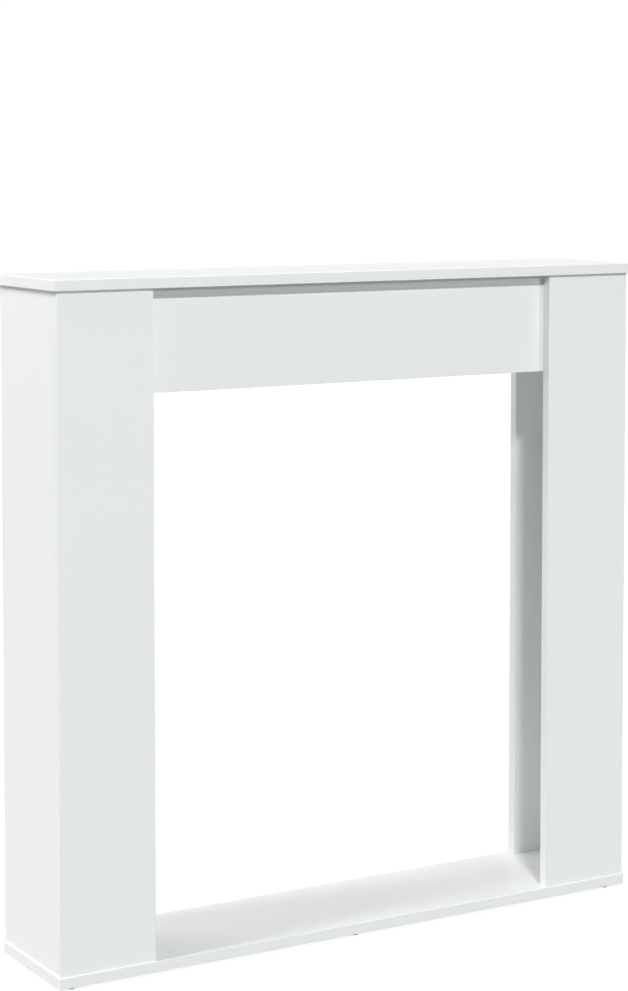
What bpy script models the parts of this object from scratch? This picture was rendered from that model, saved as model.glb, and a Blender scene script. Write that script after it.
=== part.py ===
"""Fireplace mantelpiece: a free-standing surround of flat faced boards on six small glides.

The shelf and the base are two long boards. Between them stand two hollow columns, each made of a front board, an
outer side board and a narrow back board, and open towards the fire opening. A frieze board under the shelf runs
from one side board to the other, behind the two front boards.

Units are metres, +Z is up and -Y is the front. The origin is on the floor under the middle of the shelf.
"""

import math

import bmesh
import bpy

# Overall sizes: the shelf is the longest and the deepest board
SHELF_LENGTH = 1.000
SHELF_DEPTH = 0.200
CARCASS_HEIGHT = 1.000  # from the base board's underside to the shelf's top
BOARD_THICKNESS = 0.016

# Widths of the boards between the shelf and the base
FRONT_BOARD_WIDTH = 0.150
BACK_BOARD_WIDTH = 0.070
FRIEZE_HEIGHT = 0.150

# How far the shelf and the base stand out past the columns
SHELF_OVERHANG = 0.005  # at the front and at both ends
BASE_OVERHANG = 0.002  # at the front and at both ends
BACK_OVERHANG = 0.002  # of both boards, at the back

# Glides under the base board
GLIDES_PER_ROW = 3
GLIDE_RADIUS = 0.0065
GLIDE_HEIGHT = 0.0065
GLIDE_RIM_HEIGHT = 0.0030  # the upright part of its side
GLIDE_FOOT_RADIUS = 0.0048  # the flat that rests on the floor
GLIDE_FROM_END = 0.025  # centre of a glide to the base board's end
GLIDE_FROM_EDGE = 0.0195  # centre of a glide to the base board's long edge

# Finish
EDGE_ROUNDING = 0.0008
EDGE_SEGMENTS = 2
GLIDE_STEPS = 24
GLIDE_ARC_POINTS = 5
MERGE_DISTANCE = 0.00002
CONTACT_GAP = 0.0003  # left between two pieces that touch

# Heights, from the floor up
BASE_UNDERSIDE = GLIDE_HEIGHT
BASE_TOP = BASE_UNDERSIDE + BOARD_THICKNESS
SHELF_TOP = BASE_UNDERSIDE + CARCASS_HEIGHT
SHELF_UNDERSIDE = SHELF_TOP - BOARD_THICKNESS
UPRIGHT_BOTTOM = BASE_TOP + CONTACT_GAP
UPRIGHT_TOP = SHELF_UNDERSIDE - CONTACT_GAP

# Depths, from front (-Y) to back (+Y)
SHELF_FRONT = -SHELF_DEPTH / 2
SHELF_BACK = SHELF_DEPTH / 2
COLUMN_FRONT = SHELF_FRONT + SHELF_OVERHANG
COLUMN_BACK = SHELF_BACK - BACK_OVERHANG
BASE_FRONT = COLUMN_FRONT - BASE_OVERHANG
BASE_BACK = COLUMN_BACK + BACK_OVERHANG
BEHIND_FRONT_BOARD = COLUMN_FRONT + BOARD_THICKNESS + CONTACT_GAP

# Half widths, from the middle outwards
SHELF_END = SHELF_LENGTH / 2
COLUMN_OUTSIDE = SHELF_END - SHELF_OVERHANG
COLUMN_INSIDE = COLUMN_OUTSIDE - FRONT_BOARD_WIDTH
BASE_END = COLUMN_OUTSIDE + BASE_OVERHANG
SIDE_BOARD_INSIDE = COLUMN_OUTSIDE - BOARD_THICKNESS

# Colours are linear values
BOARD_COLOUR = (0.80, 0.815, 0.81, 1.0)
GLIDE_COLOUR = (0.035, 0.035, 0.037, 1.0)
BOARD_ROUGHNESS = 0.42
GLIDE_ROUGHNESS = 0.55


def clear_scene():
    """Remove every object that the scene holds."""
    for old in list(bpy.data.objects):
        bpy.data.objects.remove(old, do_unlink=True)


def make_material(name, colour, roughness):
    """Return a Principled material of one colour, not metallic."""
    material = bpy.data.materials.new(name)
    material.use_nodes = True
    shader = material.node_tree.nodes["Principled BSDF"]
    shader.inputs["Base Color"].default_value = colour
    shader.inputs["Roughness"].default_value = roughness
    shader.inputs["Metallic"].default_value = 0.0
    return material


def add_empty(name, collection, parent=None, location=(0.0, 0.0, 0.0)):
    """Return an empty that carries a group of pieces."""
    empty = bpy.data.objects.new(name, None)
    empty.empty_display_size = 0.05
    empty.location = location
    empty.parent = parent
    collection.objects.link(empty)
    return empty


def add_board(name, low, high, material, parent, collection):
    """Return a board with softly rounded edges that fills the box from low to high, in the parent's frame."""
    size = [top - bottom for bottom, top in zip(low, high)]
    middle = [(top + bottom) / 2 for bottom, top in zip(low, high)]
    mesh = bpy.data.meshes.new(name)
    form = bmesh.new()
    bmesh.ops.create_cube(form, size=1.0)
    bmesh.ops.scale(form, vec=size, verts=form.verts)
    form.to_mesh(mesh)
    form.free()
    mesh.materials.append(material)

    board = bpy.data.objects.new(name, mesh)
    board.location = middle
    board.parent = parent
    collection.objects.link(board)

    rounding = board.modifiers.new("edge rounding", "BEVEL")
    rounding.width = EDGE_ROUNDING
    rounding.segments = EDGE_SEGMENTS
    rounding.limit_method = "NONE"
    return board


def add_shelf_and_base(material, parent, collection):
    """Add the two long boards, with their backs in one plane."""
    add_board(
        "shelf_board",
        (-SHELF_END, SHELF_FRONT, SHELF_UNDERSIDE),
        (SHELF_END, SHELF_BACK, SHELF_TOP),
        material, parent, collection,
    )
    add_board(
        "base_board",
        (-BASE_END, BASE_FRONT, BASE_UNDERSIDE),
        (BASE_END, BASE_BACK, BASE_TOP),
        material, parent, collection,
    )


def add_column(side_name, side, material, parent, collection):
    """Add a hollow column; side is -1 on the left and 1 on the right.

    The column's empty is on the floor under its outer face. Its boards are placed from there by how far they
    reach inwards. The front board covers the side board's front edge, and the back board stands inside the
    side board, flush with its back edge.
    """
    column = add_empty(f"{side_name}_column", collection, parent, (side * COLUMN_OUTSIDE, 0.0, 0.0))

    def upright(board_name, outer, inner, front, back):
        """Add one full-height board between two distances inwards from the column's outer face."""
        across = sorted((-side * outer, -side * inner))
        add_board(
            f"{side_name}_{board_name}",
            (across[0], front, UPRIGHT_BOTTOM),
            (across[1], back, UPRIGHT_TOP),
            material, column, collection,
        )

    back_board_outer = BOARD_THICKNESS + CONTACT_GAP
    upright("front_board", 0.0, FRONT_BOARD_WIDTH, COLUMN_FRONT, COLUMN_FRONT + BOARD_THICKNESS)
    upright("side_board", 0.0, BOARD_THICKNESS, BEHIND_FRONT_BOARD, COLUMN_BACK)
    upright("back_board", back_board_outer, back_board_outer + BACK_BOARD_WIDTH,
            COLUMN_BACK - BOARD_THICKNESS, COLUMN_BACK)


def add_frieze(material, parent, collection):
    """Add the board under the shelf, between the two side boards and behind the front boards."""
    end = SIDE_BOARD_INSIDE - CONTACT_GAP
    add_board(
        "frieze_board",
        (-end, BEHIND_FRONT_BOARD, UPRIGHT_TOP - FRIEZE_HEIGHT),
        (end, BEHIND_FRONT_BOARD + BOARD_THICKNESS, UPRIGHT_TOP),
        material, parent, collection,
    )


def glide_profile():
    """Return the glide's half section, down its outer side: flat top, upright rim, rounded edge, flat foot."""
    top = GLIDE_HEIGHT - CONTACT_GAP
    rim_bottom = top - GLIDE_RIM_HEIGHT
    points = [(0.0, top), (GLIDE_RADIUS, top)]
    for step in range(GLIDE_ARC_POINTS):
        angle = math.radians(90) * step / (GLIDE_ARC_POINTS - 1)
        radius = GLIDE_FOOT_RADIUS + (GLIDE_RADIUS - GLIDE_FOOT_RADIUS) * math.cos(angle)
        points.append((radius, rim_bottom * (1 - math.sin(angle))))
    points.append((0.0, 0.0))
    return points


def add_glide(name, x, y, material, parent, collection):
    """Return a turned glide that stands on the floor at x, y."""
    mesh = bpy.data.meshes.new(name)
    form = bmesh.new()
    chain = [form.verts.new((radius, 0.0, height)) for radius, height in glide_profile()]
    for start, end in zip(chain, chain[1:]):
        form.edges.new((start, end))
    form.to_mesh(mesh)
    form.free()
    mesh.materials.append(material)

    glide = bpy.data.objects.new(name, mesh)
    glide.location = (x, y, 0.0)
    glide.parent = parent
    collection.objects.link(glide)

    turning = glide.modifiers.new("turning", "SCREW")
    turning.axis = "Z"
    turning.angle = math.radians(360)
    turning.steps = GLIDE_STEPS
    turning.render_steps = GLIDE_STEPS
    turning.use_merge_vertices = True
    turning.merge_threshold = MERGE_DISTANCE
    turning.use_smooth_shade = True
    return glide


def place_in_row(index):
    """Return the word for a glide's place in its row, counted from the left."""
    if index == 0:
        return "left"
    if index == GLIDES_PER_ROW - 1:
        return "right"
    return "middle" if GLIDES_PER_ROW == 3 else f"middle_{index}"


def add_glides(material, parent, collection):
    """Add a row of glides along the base board's front edge and one along its back edge."""
    span = 2 * (BASE_END - GLIDE_FROM_END)
    for row, y in (("front", BASE_FRONT + GLIDE_FROM_EDGE), ("back", BASE_BACK - GLIDE_FROM_EDGE)):
        for index in range(GLIDES_PER_ROW):
            x = span * (index / (GLIDES_PER_ROW - 1) - 0.5)
            add_glide(f"{row}_{place_in_row(index)}_glide", x, y, material, parent, collection)


def main():
    """Build the mantelpiece."""
    clear_scene()
    collection = bpy.data.collections.new("fireplace_mantelpiece")
    bpy.context.scene.collection.children.link(collection)
    faced_board = make_material("white faced board", BOARD_COLOUR, BOARD_ROUGHNESS)
    glide_plastic = make_material("dark moulded plastic", GLIDE_COLOUR, GLIDE_ROUGHNESS)

    mantelpiece = add_empty("mantelpiece", collection)
    add_shelf_and_base(faced_board, mantelpiece, collection)
    add_column("left", -1, faced_board, mantelpiece, collection)
    add_column("right", 1, faced_board, mantelpiece, collection)
    add_frieze(faced_board, mantelpiece, collection)
    add_glides(glide_plastic, mantelpiece, collection)


main()
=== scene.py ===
"""Fireplace mantelpiece: a free-standing surround of white faced boards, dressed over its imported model.

Every board of the model is replaced by one with pressed melamine faces, edge tape and the fine line where
the two meet, and every glide by a turned and moulded one. Lengths are metres in the model's own frame: +Z is
up and -Y is the front.
"""

import logging
import math
from dataclasses import dataclass, field
from enum import Enum
from typing import Iterable

import bmesh
import bpy
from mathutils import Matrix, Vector


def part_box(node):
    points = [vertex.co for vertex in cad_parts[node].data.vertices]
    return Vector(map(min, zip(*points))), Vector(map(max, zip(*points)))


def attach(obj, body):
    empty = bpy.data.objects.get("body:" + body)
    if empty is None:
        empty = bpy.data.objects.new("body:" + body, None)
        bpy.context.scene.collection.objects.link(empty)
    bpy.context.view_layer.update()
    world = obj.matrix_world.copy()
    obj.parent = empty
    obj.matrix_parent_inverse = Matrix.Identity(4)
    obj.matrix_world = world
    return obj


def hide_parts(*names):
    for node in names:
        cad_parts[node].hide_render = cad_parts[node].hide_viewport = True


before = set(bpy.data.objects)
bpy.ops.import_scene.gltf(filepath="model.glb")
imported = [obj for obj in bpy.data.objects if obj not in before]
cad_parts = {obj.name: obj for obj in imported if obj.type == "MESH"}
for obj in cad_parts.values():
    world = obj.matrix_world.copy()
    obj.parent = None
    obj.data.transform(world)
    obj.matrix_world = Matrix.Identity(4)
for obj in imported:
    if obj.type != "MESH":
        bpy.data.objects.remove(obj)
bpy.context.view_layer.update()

log = logging.getLogger("mantelpiece")

MM = 0.001
WHITE = (1.0, 1.0, 1.0, 1.0)
TOLERANCE = 1e-6  # two places nearer than this are the same
SOFT_DETAIL = 2.0  # octaves of a soft noise
FINE_DETAIL = 3.0  # octaves of a finer one


class Axis(Enum):
    """The three directions of the frame."""

    ACROSS = 0
    DEPTH = 1
    HEIGHT = 2


class Side(Enum):
    """The six sides of a board: the axis that it faces along, and which way."""

    LEFT = (Axis.ACROSS, -1)
    RIGHT = (Axis.ACROSS, 1)
    FRONT = (Axis.DEPTH, -1)
    BACK = (Axis.DEPTH, 1)
    UNDER = (Axis.HEIGHT, -1)
    TOP = (Axis.HEIGHT, 1)

    @property
    def axis(self) -> int:
        """Return the number of the axis that the side faces along."""
        return self.value[0].value

    @property
    def sign(self) -> int:
        """Return -1 or 1, the way that the side faces along its axis."""
        return self.value[1]


class Slot(Enum):
    """The finish slots that the part's record offers."""

    BOARD = "faced_board"
    GLIDE = "glide"


def linear(colour: str) -> tuple[float, float, float, float]:
    """Turn an sRGB hex colour into linear values.

    Args:
        colour: six hex digits after a hash.

    Returns:
        Red, green and blue in linear light, and an alpha of one.
    """
    levels = (int(colour[i:i + 2], 16) / 255 for i in (1, 3, 5))
    red, green, blue = (v / 12.92 if v <= 0.04045 else ((v + 0.055) / 1.055) ** 2.4 for v in levels)
    return red, green, blue, 1.0


def add_node(tree: bpy.types.NodeTree, kind: str, settings: dict[str, object] | None = None,
             values: dict[str | int, object] | None = None,
             links: dict[str | int, bpy.types.NodeSocket] | None = None) -> bpy.types.Node:
    """Add a node to a tree, set it up and link it.

    Args:
        tree: the node tree that takes the node.
        kind: Blender's name for the node's type.
        settings: the node's own settings, by name.
        values: what its unlinked inputs hold, by name or place.
        links: the sockets that feed its other inputs, by name or place.

    Returns:
        The new node.
    """
    node = tree.nodes.new(kind)
    for name, value in (settings or {}).items():
        setattr(node, name, value)
    for name, value in (values or {}).items():
        node.inputs[name].default_value = value
    for name, socket in (links or {}).items():
        tree.links.new(socket, node.inputs[name])
    return node


def new_tree(name: str) -> tuple[bpy.types.Material, bpy.types.NodeTree]:
    """Make a material whose node tree is empty.

    Args:
        name: the material's name.

    Returns:
        The material and its node tree.
    """
    material = bpy.data.materials.new(name)
    material.use_nodes = True
    material.node_tree.nodes.clear()
    return material, material.node_tree


@dataclass(frozen=True)
class PressedMelamine:
    """Melamine-faced chipboard: resin-soaked white paper, pressed on hot against a pearl-textured plate.

    The eye gets a clean, slightly cool white, even over the whole board, with a satin sheen that a very fine
    pebble breaks up.
    """

    name: str = "melamine_faced_chipboard_pressed_white"
    light_white: str = "#EDF0EF"
    deep_white: str = "#EBEEED"
    ior: float = 1.55
    roughness: tuple[float, float] = (0.42, 0.48)
    cloud: float = 90 * MM  # width of the paper's faint clouding
    sheen_patch: float = 14 * MM  # width of the patches where the plate pressed a little smoother
    pebble: float = 1.6 * MM  # the real pearl is about 0.3 mm, too fine to show, so it is drawn coarser
    pebble_height: float = 0.006 * MM
    pebble_blend: float = 0.6  # how softly one pebble runs into the next

    def material(self) -> bpy.types.Material:
        """Return the finish as a procedural material on Object coordinates."""
        material, tree = new_tree(self.name)
        place = add_node(tree, "ShaderNodeTexCoord").outputs["Object"]
        clouding = add_node(tree, "ShaderNodeTexNoise",
                            values={"Scale": 1 / self.cloud, "Detail": SOFT_DETAIL}, links={"Vector": place})
        colour = add_node(tree, "ShaderNodeMix", {"data_type": "RGBA"},
                          {6: linear(self.deep_white), 7: linear(self.light_white)}, {0: clouding.outputs[0]})
        patches = add_node(tree, "ShaderNodeTexNoise",
                           values={"Scale": 1 / self.sheen_patch, "Detail": FINE_DETAIL},
                           links={"Vector": place})
        gloss = add_node(tree, "ShaderNodeMapRange",
                         values={"To Min": self.roughness[0], "To Max": self.roughness[1]},
                         links={"Value": patches.outputs[0]})
        pearl = add_node(tree, "ShaderNodeTexVoronoi", {"feature": "SMOOTH_F1"},
                         {"Scale": 1 / self.pebble, "Smoothness": self.pebble_blend}, {"Vector": place})
        bump = add_node(tree, "ShaderNodeBump", {"invert": True},
                        {"Strength": 1.0, "Distance": self.pebble_height}, {"Height": pearl.outputs[0]})
        shader = add_node(tree, "ShaderNodeBsdfPrincipled", values={"IOR": self.ior},
                          links={"Base Color": colour.outputs[2], "Roughness": gloss.outputs[0],
                                 "Normal": bump.outputs[0]})
        add_node(tree, "ShaderNodeOutputMaterial", links={"Surface": shader.outputs[0]})
        return material


@dataclass(frozen=True)
class ExtrudedTape:
    """ABS edge tape: extruded in long strips, glued on hot, then milled and scraped flush with the faces.

    The eye gets the boards' white a shade cleaner and a little glossier, with faint draw lines along it; the
    lines are painted a little darker in their grooves, as painted shade.
    """

    name: str = "abs_edge_tape_extruded_white"
    colour: str = "#EDF0EF"
    # painted shade: the colour that the draw lines' grooves are darkened to
    painted_groove_shade: str = "#E9ECEB"
    ior: float = 1.53
    roughness: tuple[float, float] = (0.36, 0.44)
    line_width: float = 0.9 * MM  # real draw lines are about 0.2 mm, drawn coarser so that they show
    line_length: float = 260 * MM
    line_height: float = 0.003 * MM

    def material(self) -> bpy.types.Material:
        """Return the finish as a procedural material on the piece's UV map, in metres along the strip."""
        material, tree = new_tree(self.name)
        strip = add_node(tree, "ShaderNodeUVMap", {"uv_map": FacedBoard.UV_NAME}).outputs[0]
        stretched = add_node(tree, "ShaderNodeMapping",
                             values={"Scale": (1 / self.line_length, 1 / self.line_width, 1.0)},
                             links={"Vector": strip})
        lines = add_node(tree, "ShaderNodeTexNoise", {"noise_dimensions": "2D"},
                         {"Scale": 1.0, "Detail": SOFT_DETAIL}, {"Vector": stretched.outputs[0]})
        # the tape's white, darkened towards the painted groove shade where the bump sinks the draw lines
        colour = add_node(tree, "ShaderNodeMix", {"data_type": "RGBA"},
                          {6: linear(self.painted_groove_shade), 7: linear(self.colour)}, {0: lines.outputs[0]})
        gloss = add_node(tree, "ShaderNodeMapRange",
                         values={"To Min": self.roughness[0], "To Max": self.roughness[1]},
                         links={"Value": lines.outputs[0]})
        bump = add_node(tree, "ShaderNodeBump", values={"Strength": 1.0, "Distance": self.line_height},
                        links={"Height": lines.outputs[0]})
        shader = add_node(tree, "ShaderNodeBsdfPrincipled", values={"IOR": self.ior},
                          links={"Base Color": colour.outputs[2], "Roughness": gloss.outputs[0],
                                 "Normal": bump.outputs[0]})
        add_node(tree, "ShaderNodeOutputMaterial", links={"Surface": shader.outputs[0]})
        return material


@dataclass(frozen=True)
class MouldedPolypropylene:
    """Dark polypropylene: injection moulded against a spark-eroded tool, then scuffed where it stands.

    The eye gets a dull charcoal with a fine dry grain, and a paler, rougher ring on the foot.
    """

    name: str = "polypropylene_moulded_charcoal"
    colour: str = "#3B3C3E"
    scuffed: str = "#5A5A5A"
    ior: float = 1.49
    roughness: float = 0.5
    scuffed_roughness: float = 0.75
    grain: float = 0.4 * MM  # the real grain is about 0.1 mm, drawn coarser so that it shows
    grain_height: float = 0.02 * MM
    grain_strength: float = 0.6  # how far its slopes show, from 0 to 1
    scuff_height: float = 0.5 * MM  # how far up from the floor the scuffing reaches

    def material(self) -> bpy.types.Material:
        """Return the finish as a procedural material on Object coordinates."""
        material, tree = new_tree(self.name)
        place = add_node(tree, "ShaderNodeTexCoord").outputs["Object"]
        height = add_node(tree, "ShaderNodeSeparateXYZ", links={0: place}).outputs["Z"]
        grain = add_node(tree, "ShaderNodeTexNoise", values={"Scale": 1 / self.grain, "Detail": FINE_DETAIL},
                         links={"Vector": place})
        low = add_node(tree, "ShaderNodeMapRange",
                       values={"From Min": 0.0, "From Max": self.scuff_height, "To Min": 1.0, "To Max": 0.0},
                       links={"Value": height})
        scuff = add_node(tree, "ShaderNodeMath", {"operation": "MULTIPLY"},
                         links={0: low.outputs[0], 1: grain.outputs[0]})
        colour = add_node(tree, "ShaderNodeMix", {"data_type": "RGBA"},
                          {6: linear(self.colour), 7: linear(self.scuffed)}, {0: scuff.outputs[0]})
        gloss = add_node(tree, "ShaderNodeMapRange",
                         values={"To Min": self.roughness, "To Max": self.scuffed_roughness},
                         links={"Value": scuff.outputs[0]})
        bump = add_node(tree, "ShaderNodeBump",
                        values={"Strength": self.grain_strength, "Distance": self.grain_height},
                        links={"Height": grain.outputs[0]})
        shader = add_node(tree, "ShaderNodeBsdfPrincipled", values={"IOR": self.ior},
                          links={"Base Color": colour.outputs[2], "Roughness": gloss.outputs[0],
                                 "Normal": bump.outputs[0]})
        add_node(tree, "ShaderNodeOutputMaterial", links={"Surface": shader.outputs[0]})
        return material


@dataclass(frozen=True)
class OpalLightTable:
    """Opal acrylic on a light table: cast sheet, matt on top and lit from below, as small goods are shown on.

    The eye gets an even white ground. The light from below outshines what falls on it, so that its colour
    stands only for the little that it throws back, and shade shows as no more than a breath of grey.
    """

    name: str = "acrylic_cast_opal_lit"
    colour: str = "#595959"
    glow: str = "#FFFFFF"
    glow_strength: float = 0.92
    roughness: float = 0.85

    def material(self) -> bpy.types.Material:
        """Return the finish as a material."""
        material, tree = new_tree(self.name)
        shader = add_node(tree, "ShaderNodeBsdfPrincipled",
                          values={"Base Color": linear(self.colour), "Roughness": self.roughness,
                                  "Emission Color": linear(self.glow),
                                  "Emission Strength": self.glow_strength})
        add_node(tree, "ShaderNodeOutputMaterial", links={"Surface": shader.outputs[0]})
        return material


def finish_piece(form: bmesh.types.BMesh, name: str, node: str,
                 materials: Iterable[bpy.types.Material]) -> bpy.types.Object:
    """Turn a finished mesh into a piece that stands for a node of the model.

    Args:
        form: the mesh, in place in the model's frame. It is freed.
        name: the piece's name.
        node: the node that it replaces.
        materials: its materials, in the order of their index on the faces.

    Returns:
        The piece.
    """
    mesh = bpy.data.meshes.new(name)
    form.to_mesh(mesh)
    form.free()
    for material in materials:
        mesh.materials.append(material)
    piece = bpy.data.objects.new(name, mesh)
    bpy.context.scene.collection.objects.link(piece)
    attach(piece, "root")
    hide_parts(node)
    log.info("%s replaces %s: %d faces", name, node, len(mesh.polygons))
    return piece


@dataclass
class FacedBoard:
    """A board sawn from faced chipboard, with taped edges.

    Attributes:
        name: the piece's name.
        node: the model's node that gives its place and is replaced.
        faced: the axis across its two broad faces.
        taped: its narrow sides that carry tape, those whose tape runs through to the ends first.
        seated: sides that stand against another board, and close the model's gap to it.
        tight: sides whose edges are all left crisp, because they meet another board.
        tight_edges: single edges, each between two sides, that are left crisp for the same reason.
        tape: thickness of the tape.
        rounding: radius that the trimmer leaves on an open edge.
        rounding_steps: faces across that rounding.
        easing: radius of a crisp edge.
        easing_steps: faces across that radius.
        joint_width: width of the line between tape and face.
        joint_depth: depth of that line.
        gap_closed: how far a seated side reaches into the model's gap.
        low: the board's lowest corner.
        high: its highest corner.
    """

    UV_NAME = "along_tape"
    STILL_SQUARE = math.radians(80)  # an edge that turns by more hasn't been rounded

    name: str
    node: str
    faced: Axis
    taped: tuple[Side, ...]
    seated: tuple[Side, ...] = ()
    tight: tuple[Side, ...] = ()
    tight_edges: tuple[tuple[Side, Side], ...] = ()
    tape: float = 1.0 * MM
    rounding: float = 0.4 * MM
    rounding_steps: int = 4
    easing: float = 0.15 * MM
    easing_steps: int = 2
    joint_width: float = 0.1 * MM
    joint_depth: float = 0.04 * MM
    gap_closed: float = 0.25 * MM
    low: Vector = field(init=False)
    high: Vector = field(init=False)

    def __post_init__(self) -> None:
        """Take the board's box from the model, and let its seated sides close the gap."""
        self.low, self.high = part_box(self.node)
        for side in self.seated:
            corner = self.low if side.sign < 0 else self.high
            corner[side.axis] += side.sign * self.gap_closed

    def plane(self, side: Side) -> float:
        """Return where a side lies on its axis."""
        return (self.low if side.sign < 0 else self.high)[side.axis]

    def depth_behind(self, point: Vector, side: Side) -> float:
        """Return how far a point lies inside a side."""
        return side.sign * (self.plane(side) - point[side.axis])

    def on(self, vert: bmesh.types.BMVert, *sides: Side) -> bool:
        """Return whether a vertex lies in the plane of every side given."""
        return all(abs(self.depth_behind(vert.co, side)) < TOLERANCE for side in sides)

    def broad_sides(self) -> list[Side]:
        """Return the two broad sides."""
        return [side for side in Side if side.axis == self.faced.value]

    def is_crisp(self, edge: bmesh.types.BMEdge) -> bool:
        """Tell whether an edge is left crisp.

        Args:
            edge: an edge of the board, before or after its open edges are rounded.

        Returns:
            True where it bounds a tight side or is one of the tight edges.
        """
        for side in self.tight:
            flat = [f for f in edge.link_faces if f.normal[side.axis] * side.sign > 1 - TOLERANCE]
            if len(flat) == 1 and all(self.on(vert, side) for vert in edge.verts):
                return True
        return any(all(self.on(vert, *pair) for vert in edge.verts) for pair in self.tight_edges)

    def round_edges(self, form: bmesh.types.BMesh) -> None:
        """Round the open edges as the trimmer leaves them, and ease the crisp ones.

        Args:
            form: the sawn board, a plain box.
        """
        for crisp, radius, steps in ((False, self.rounding, self.rounding_steps),
                                     (True, self.easing, self.easing_steps)):
            form.normal_update()
            edges = [edge for edge in form.edges if self.is_crisp(edge) == crisp]
            if not crisp:
                edges = [edge for edge in edges if edge.calc_face_angle(0.0) > self.STILL_SQUARE]
            if edges:
                bmesh.ops.bevel(form, geom=edges, offset=radius, offset_type="OFFSET", segments=steps,
                                profile=0.5, affect="EDGES", clamp_overlap=True, material=-1)

    def within(self, point: Vector, sides: Iterable[Side]) -> bool:
        """Return whether a point lies inside the tape of every side given."""
        return all(self.depth_behind(point, side) > self.tape for side in sides)

    def score_joint(self, form: bmesh.types.BMesh, side: Side, through: list[Side]) -> None:
        """Press in the line where a side's tape meets the two faces.

        Args:
            form: the rounded board.
            side: the taped side.
            through: taped sides done before, at whose tape the line stops.
        """
        along = Vector((0.0, 0.0, 0.0))
        along[side.axis] = side.sign
        for offset in (-self.joint_width / 2, 0.0, self.joint_width / 2):
            faces = [face for face in form.faces if self.within(face.calc_center_median(), through)]
            corners = {vert for face in faces for vert in face.verts}
            borders = {edge for face in faces for edge in face.edges}
            at = self.high.copy()
            at[side.axis] = self.plane(side) - side.sign * (self.tape + offset)
            bmesh.ops.bisect_plane(form, geom=[*corners, *borders, *faces], dist=TOLERANCE / 10,
                                   plane_co=at, plane_no=along)
        for vert in form.verts:
            if abs(self.depth_behind(vert.co, side) - self.tape) > TOLERANCE:
                continue
            if not self.within(vert.co, through):
                continue
            for face in self.broad_sides():
                if self.on(vert, face):
                    vert.co[face.axis] -= face.sign * self.joint_depth

    def dress(self, form: bmesh.types.BMesh) -> None:
        """Give each face its finish, shading and place on the UV map.

        Args:
            form: the shaped board.
        """
        form.normal_update()
        layer = form.loops.layers.uv.new(self.UV_NAME)
        broad = self.faced.value
        for face in form.faces:
            centre = face.calc_center_median()
            tapes = [side for side in self.taped if self.depth_behind(centre, side) < self.tape]
            face.material_index = 1 if tapes else 0
            face.smooth = max(abs(part) for part in face.normal) < 1 - TOLERANCE
            edgeways = tapes[0].axis if tapes else next(a.value for a in Axis if a.value != broad)
            lengthways = next(a.value for a in Axis if a.value not in (broad, edgeways))
            for loop in face.loops:
                place = loop.vert.co
                across = place[broad] + place[edgeways] if tapes else place[edgeways]
                loop[layer].uv = (place[lengthways], across)

    def build(self, face_finish: bpy.types.Material, tape_finish: bpy.types.Material) -> bpy.types.Object:
        """Saw, tape, trim and dress the board.

        Args:
            face_finish: the material of its faces and untaped sides.
            tape_finish: the material of its tape.

        Returns:
            The finished piece.
        """
        form = bmesh.new()
        bmesh.ops.create_cube(form, size=1.0)
        bmesh.ops.scale(form, vec=self.high - self.low, verts=form.verts)
        bmesh.ops.translate(form, vec=(self.high + self.low) / 2, verts=form.verts)
        self.round_edges(form)
        done: list[Side] = []
        for side in self.taped:
            crossed = [other for other in done if other.axis != side.axis]
            self.score_joint(form, side, crossed)
            done.append(side)
        self.dress(form)
        return finish_piece(form, self.name, self.node, (face_finish, tape_finish))


@dataclass
class LongBoard:
    """The shelf or the base: a long lying board with tape on all four edges."""

    name: str
    node: str
    rounding: float  # radius of its edges

    def boards(self) -> list[FacedBoard]:
        """Return its one board, whose front and back tapes run through to the ends."""
        return [FacedBoard(self.name, self.node, Axis.HEIGHT,
                           taped=(Side.FRONT, Side.BACK, Side.LEFT, Side.RIGHT), rounding=self.rounding)]


@dataclass
class Column:
    """A hollow column, open towards the fire: a front board, an outer side board and a narrow back board."""

    hand: str
    outer: Side
    inner: Side

    def boards(self) -> list[FacedBoard]:
        """Return the column's three boards.

        Returns:
            The front board, which covers the side board's front edge, the side board, and the back board,
            which stands inside the side board and is flush with its back edge.
        """
        ends = (Side.TOP, Side.UNDER)
        return [
            FacedBoard(f"{self.hand}_front_panel", f"{self.hand}_front_board", Axis.DEPTH,
                       taped=(self.outer, self.inner), seated=ends, tight=ends,
                       tight_edges=((self.outer, Side.BACK),)),
            FacedBoard(f"{self.hand}_side_panel", f"{self.hand}_side_board", Axis.ACROSS,
                       taped=(Side.BACK,), seated=(*ends, Side.FRONT), tight=(*ends, Side.FRONT),
                       tight_edges=((self.inner, Side.BACK),)),
            FacedBoard(f"{self.hand}_back_strip", f"{self.hand}_back_board", Axis.DEPTH,
                       taped=(self.inner,), seated=(*ends, self.outer), tight=(*ends, self.outer)),
        ]


@dataclass
class Frieze:
    """The apron under the shelf, from one side board to the other, behind the front boards."""

    name: str = "frieze_panel"
    node: str = "frieze_board"

    def boards(self) -> list[FacedBoard]:
        """Return its one board, taped along its lower edge."""
        meeting = (Side.TOP, Side.LEFT, Side.RIGHT)
        return [FacedBoard(self.name, self.node, Axis.DEPTH, taped=(Side.UNDER,),
                           seated=(*meeting, Side.FRONT), tight=meeting)]


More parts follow.
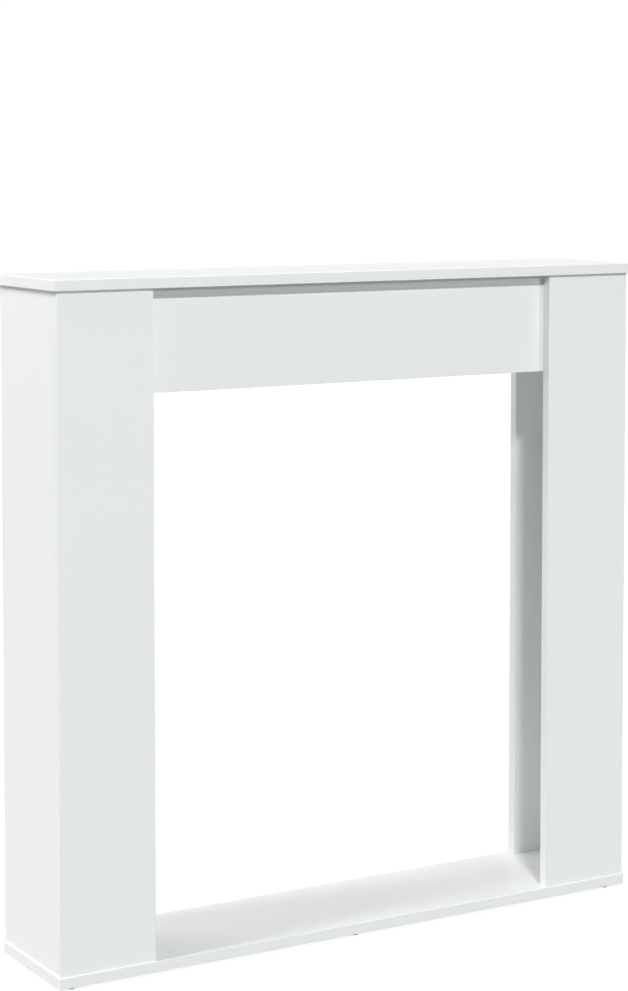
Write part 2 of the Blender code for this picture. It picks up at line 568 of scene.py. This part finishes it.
@dataclass
class Glide:
    """A moulded glide under the base: a disc with a rounded side, a flat foot ring and a sunk middle."""

    name: str
    node: str
    chamfer: float = 0.2 * MM
    rim: float = 3.0 * MM  # the upright part of its side
    foot: float = 4.8 * MM  # radius of the flat foot
    well: float = 2.8 * MM  # radius of the sunk middle
    well_depth: float = 0.9 * MM
    gate: float = 0.5 * MM  # radius of the moulding gate's mark
    gate_height: float = 0.25 * MM
    arc_steps: int = 10  # faces down its rounded side
    turn_steps: int = 64  # faces round it
    crease: float = 30.0  # degrees between two faces from which their edge shows

    def profile(self, radius: float, height: float) -> list[tuple[float, float]]:
        """Return the half section, from the middle of its top, down its side, to the middle of its foot.

        Args:
            radius: the glide's largest radius.
            height: the height of its top.

        Returns:
            Pairs of a radius and a height.
        """
        shoulder = height - self.rim
        points = [(0.0, height), (radius - self.chamfer, height), (radius, height - self.chamfer)]
        for step in range(self.arc_steps + 1):
            angle = math.radians(90) * step / self.arc_steps
            outwards, upwards = math.cos(angle), 1 - math.sin(angle)
            points.append((self.foot + (radius - self.foot) * outwards, shoulder * upwards))
        lip = self.chamfer / 2
        points += [(self.well + lip, 0.0), (self.well, lip), (self.well - lip, self.well_depth),
                   (self.gate + lip, self.well_depth), (self.gate, self.well_depth - self.gate_height),
                   (0.0, self.well_depth - self.gate_height)]
        return points

    def build(self, finish: bpy.types.Material) -> bpy.types.Object:
        """Turn the glide and dress it.

        Args:
            finish: its material.

        Returns:
            The finished piece.
        """
        low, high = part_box(self.node)
        radius = min(high.x - low.x, high.y - low.y) / 2
        axis = Vector(((low.x + high.x) / 2, (low.y + high.y) / 2, 0.0))
        form = bmesh.new()
        chain = [form.verts.new(axis + Vector((r, 0.0, z))) for r, z in self.profile(radius, high.z)]
        edges = [form.edges.new(pair) for pair in zip(chain, chain[1:])]
        bmesh.ops.spin(form, geom=[*chain, *edges], cent=axis, axis=(0.0, 0.0, 1.0), angle=math.radians(360),
                       steps=self.turn_steps, use_merge=True)
        bmesh.ops.remove_doubles(form, verts=form.verts, dist=TOLERANCE)
        bmesh.ops.recalc_face_normals(form, faces=form.faces)
        form.normal_update()
        for face in form.faces:
            face.smooth = abs(face.normal.z) < 1 - TOLERANCE
        for edge in form.edges:
            edge.smooth = edge.calc_face_angle(0.0) < math.radians(self.crease)
        return finish_piece(form, self.name, self.node, (finish,))


@dataclass(frozen=True)
class Sun:
    """A distant light, or a level row of them, whose shade is soft along the row and sharper across it.

    Attributes:
        name: the light's name.
        azimuth: where its middle stands, in degrees round the object from straight in front; positive is to
            the left.
        elevation: how high it stands, in degrees.
        strength: what the whole row gives a surface that faces it, in W per square metre.
        colour: its colour, in linear light.
        spread: how wide each light of the row looks from the object, in degrees.
        count: how many lights stand side by side.
        step: the azimuth from one to the next, in degrees.
    """

    name: str
    azimuth: float
    elevation: float
    strength: float
    colour: tuple[float, float, float]
    spread: float
    count: int = 1
    step: float = 0.0

    def travel(self, place: int) -> Vector:
        """Return the direction in which the light at a place in the row travels."""
        azimuth = math.radians(self.azimuth + self.step * (place - (self.count - 1) / 2))
        elevation = math.radians(self.elevation)
        return Vector((math.sin(azimuth) * math.cos(elevation), math.cos(azimuth) * math.cos(elevation),
                       -math.sin(elevation)))

    def build(self) -> None:
        """Add the row's lights, turned the way that they shine."""
        data = bpy.data.lights.new(self.name, "SUN")
        data.energy = self.strength / self.count
        data.color = self.colour
        data.angle = math.radians(self.spread)
        for place in range(self.count):
            light = bpy.data.objects.new(f"{self.name}_{place + 1}", data)
            light.rotation_euler = self.travel(place).to_track_quat("-Z", "Y").to_euler()
            bpy.context.scene.collection.objects.link(light)
        log.info("%s: %.2f W per square metre", self.name, self.strength)


@dataclass(frozen=True)
class Glow:
    """A level band of the surroundings that glows all round, as a lit floor or ceiling some way off does.

    Attributes:
        name: what it stands for.
        low: the elevation at which it starts, in degrees.
        high: the elevation at which it ends.
        strength: how bright it is.
        softness: half width of its soft edges, as the sine of an elevation.
    """

    name: str
    low: float
    high: float
    strength: float
    softness: float = 0.02

    def brightness(self, tree: bpy.types.NodeTree, height: bpy.types.NodeSocket) -> bpy.types.NodeSocket:
        """Add the nodes that say how bright the band is.

        Args:
            tree: the world's node tree.
            height: the sine of the elevation that is looked at.

        Returns:
            The band's brightness there.
        """
        starts, ends = (
            add_node(tree, "ShaderNodeMapRange", {"interpolation_type": "SMOOTHSTEP"},
                     {"From Min": edge - self.softness, "From Max": edge + self.softness},
                     {"Value": height}).outputs[0]
            for edge in (math.sin(math.radians(self.low)), math.sin(math.radians(self.high))))
        band = add_node(tree, "ShaderNodeMath", {"operation": "SUBTRACT"}, links={0: starts, 1: ends})
        return add_node(tree, "ShaderNodeMath", {"operation": "MULTIPLY", "label": self.name},
                        {1: self.strength}, {0: band.outputs[0]}).outputs[0]


@dataclass
class Studio:
    """The pale floor, the soft light and the camera.

    Attributes:
        eye: where the camera stands.
        turned_right: how far it is turned to the right of straight ahead, in degrees.
        tilted_down: how far it looks down, in degrees.
        lens: its focal length in millimetres.
        vertical_shift: how far the picture is shifted, as a share of its height.
        floor_radius: the floor's radius.
        floor_sides: how many sides its outline has.
        ground: how bright the plain ground behind the floor is.
        glows: the bands of the surroundings that glow.
        suns: the distant lights.
    """

    eye: tuple[float, float, float] = (-1.9243, -3.1964, 1.1875)
    turned_right: float = 30.7230
    tilted_down: float = 3.6837
    lens: float = 89.514
    vertical_shift: float = -0.19
    floor_radius: float = 14.0
    floor_sides: int = 96
    ground: float = 1.03
    glows: tuple[Glow, ...] = (
        Glow("floor_near", -90.0, -50.0, 0.30),
        Glow("floor_far", -25.0, -10.0, 1.00),
        Glow("ceiling", 50.0, 90.0, 0.52),
    )
    suns: tuple[Sun, ...] = (
        Sun("key_row", 22.6, 35.4, 2.14, (1.0, 1.0, 1.0), 2.3, 4, 2.4),
        Sun("left_row", 90.0, 46.5, 1.49, (1.0, 0.985, 0.967), 3.0, 5, 3.0),
        Sun("front_low_light", -25.0, 13.0, 0.70, (0.96, 0.985, 1.0), 12.0),
        Sun("left_rear_light", 135.0, 45.0, 0.62, (1.0, 0.93, 0.945), 20.0),
        Sun("left_rear_low_light", 120.0, 12.0, 0.51, (1.0, 1.0, 1.0), 14.0),
        Sun("right_rear_light", -135.0, 45.0, 0.26, (1.0, 1.0, 1.0), 20.0),
        Sun("right_light", -90.0, 50.0, 0.21, (1.0, 1.0, 1.0), 15.0),
        Sun("rear_fill", 170.0, 10.0, 0.90, (1.0, 1.0, 1.0), 25.0),
        Sun("right_fill", -95.0, 10.0, 0.60, (1.0, 1.0, 1.0), 30.0),
    )

    def add_camera(self) -> None:
        """Set the camera at the photograph's viewing angle."""
        data = bpy.data.cameras.new("camera")
        data.lens = self.lens
        data.shift_y = self.vertical_shift
        camera = bpy.data.objects.new("camera", data)
        camera.location = self.eye
        camera.rotation_euler = (math.radians(90 - self.tilted_down), 0.0, math.radians(-self.turned_right))
        bpy.context.scene.collection.objects.link(camera)
        bpy.context.scene.camera = camera

    def add_floor(self) -> None:
        """Lay the floor: it takes shade, but throws no light or shade back onto the object."""
        form = bmesh.new()
        bmesh.ops.create_circle(form, cap_ends=True, segments=self.floor_sides, radius=self.floor_radius)
        mesh = bpy.data.meshes.new("floor")
        form.to_mesh(mesh)
        form.free()
        mesh.materials.append(OpalLightTable().material())
        floor = bpy.data.objects.new("floor", mesh)
        floor.visible_diffuse = floor.visible_glossy = floor.visible_shadow = False
        bpy.context.scene.collection.objects.link(floor)

    def add_surroundings(self) -> None:
        """Set up the world: level bands of glow all round, in front of a plain white ground."""
        world = bpy.data.worlds.new("soft_surroundings")
        world.use_nodes = True
        tree = world.node_tree
        tree.nodes.clear()
        direction = add_node(tree, "ShaderNodeTexCoord").outputs["Generated"]
        height = add_node(tree, "ShaderNodeSeparateXYZ", links={0: direction}).outputs["Z"]
        strength, *others = (glow.brightness(tree, height) for glow in self.glows)
        for band in others:
            both = add_node(tree, "ShaderNodeMath", {"operation": "ADD"}, links={0: strength, 1: band})
            strength = both.outputs[0]
        light = add_node(tree, "ShaderNodeBackground", values={"Color": WHITE}, links={"Strength": strength})
        ground = add_node(tree, "ShaderNodeBackground", values={"Color": WHITE, "Strength": self.ground})
        seen = add_node(tree, "ShaderNodeLightPath").outputs["Is Camera Ray"]
        chosen = add_node(tree, "ShaderNodeMixShader",
                          links={0: seen, 1: light.outputs[0], 2: ground.outputs[0]})
        add_node(tree, "ShaderNodeOutputWorld", links={"Surface": chosen.outputs[0]})
        bpy.context.scene.world = world

    def build(self) -> None:
        """Set up the camera, the floor, the lights and plain colour handling."""
        view = bpy.context.scene.view_settings
        view.view_transform, view.look, view.exposure, view.gamma = "Standard", "None", 0.0, 1.0
        self.add_camera()
        self.add_floor()
        self.add_surroundings()
        for sun in self.suns:
            sun.build()


@dataclass
class Mantelpiece:
    """The whole object: the shelf, the base, two columns, the frieze and six glides."""

    parts: tuple[LongBoard | Column | Frieze, ...] = (
        LongBoard("mantel_shelf", "shelf_board", 0.9 * MM),
        LongBoard("hearth_base", "base_board", 0.5 * MM),
        Column("left", Side.LEFT, Side.RIGHT),
        Column("right", Side.RIGHT, Side.LEFT),
        Frieze(),
    )
    rows: tuple[str, ...] = ("front", "back")
    places: tuple[str, ...] = ("left", "middle", "right")

    def build(self) -> None:
        """Build and dress every board and glide."""
        face_finish = PressedMelamine().material()
        tape_finish = ExtrudedTape().material()
        for part in self.parts:
            for board in part.boards():
                board.build(face_finish, tape_finish)
        glide_finish = MouldedPolypropylene().material()
        for row in self.rows:
            for place in self.places:
                Glide(f"{row}_{place}_pad", f"{row}_{place}_glide").build(glide_finish)


def main() -> None:
    """Build the studio and the mantelpiece."""
    logging.basicConfig(level=logging.INFO, format="%(name)s: %(message)s")
    Studio().build()
    Mantelpiece().build()


if __name__ == "__main__":
    main()
